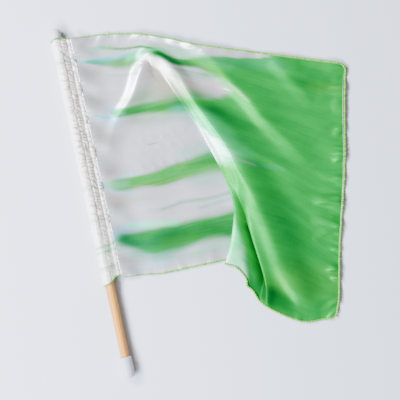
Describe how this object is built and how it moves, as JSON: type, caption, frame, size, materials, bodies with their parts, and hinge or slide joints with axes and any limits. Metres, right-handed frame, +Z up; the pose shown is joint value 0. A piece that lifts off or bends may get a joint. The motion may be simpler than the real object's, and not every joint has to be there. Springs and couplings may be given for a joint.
{
  "type": "silk flag on wooden pole",
  "caption": "Hand flag of dyed silk with a gathered sleeve on a round wooden pole with vinyl end caps, lying with its fly turned over in one long fold.",
  "frame": {"origin": "on the surface under the middle of the flag's box, as it lies", "axes": "+Y along the pole from the foot cap to the top cap, +X from the pole towards the fly, +Z up from the surface"},
  "size_m": [0.3014, 0.378, 0.013],
  "materials": {
    "silk": "thin plain-woven silk, dyed green over white, soft sheen",
    "hem_thread": "lime polyester overlock thread, satin",
    "wood": "sanded bare hardwood dowel, matt",
    "vinyl": "white dip-moulded vinyl, satin"
  },
  "bodies": {
    "root": {"flag_cloth": "silk", "dowel": "wood", "cap_foot": "vinyl", "cap_top": "vinyl"}
  },
  "joints": []
}
